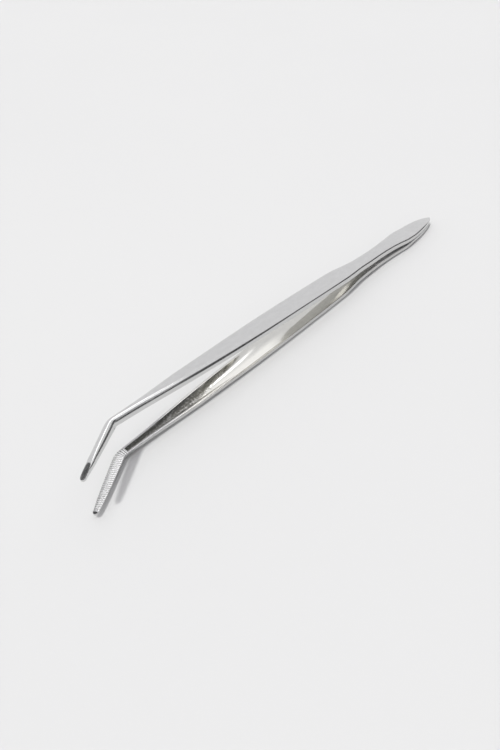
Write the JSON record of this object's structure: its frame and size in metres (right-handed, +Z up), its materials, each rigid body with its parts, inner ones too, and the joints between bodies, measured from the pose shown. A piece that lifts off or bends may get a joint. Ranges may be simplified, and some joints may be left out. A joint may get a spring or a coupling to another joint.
{
  "type": "aquascaping tweezers",
  "caption": "Long angled tweezers: two sprung steel arms welded at a leaf-shaped butt, with bent, serrated jaws for placing stems in an aquarium.",
  "frame": {"origin": "middle of the flat patch on the lower arm's outer face that the tool lies on, at table height", "axes": "+X runs along the tool towards the jaws, +Z is up, across the gap from the lower arm to the upper arm, and +Y is the side that the jaws bend to"},
  "size_m": [0.2704, 0.0215, 0.0231],
  "materials": {
    "polished_steel": "polished stainless steel",
    "weld_steel": "dressed weld metal",
    "toothed_steel": "stainless steel with cut teeth"
  },
  "bodies": {
    "butt": {"upper_leaf": "polished_steel", "lower_leaf": "polished_steel", "butt_weld": "weld_steel", "upper_neck": "polished_steel", "lower_neck": "polished_steel"},
    "upper_arm": {"upper_arm": "polished_steel", "upper_jaw": "toothed_steel"},
    "lower_arm": {"lower_arm": "polished_steel", "lower_jaw": "toothed_steel"}
  },
  "joints": [
    {"name": "upper_arm_flex", "type": "hinge", "parent": "butt", "child": "upper_arm", "pos_m": [-0.05973, 0, 0.00785], "axis": [0, 1, 0], "range_deg": [0, 2.65], "stiffness_Nm_per_rad": 5, "deforming": ["upper_neck"]},
    {"name": "lower_arm_flex", "type": "hinge", "parent": "butt", "child": "lower_arm", "pos_m": [-0.05952, 0, 0.00217], "axis": [0, -1, 0], "range_deg": [0, 2.65], "stiffness_Nm_per_rad": 5, "deforming": ["lower_neck"]}
  ],
  "couplings": [
    {"joint": "lower_arm_flex", "follows": "upper_arm_flex", "ratio": 1}
  ]
}
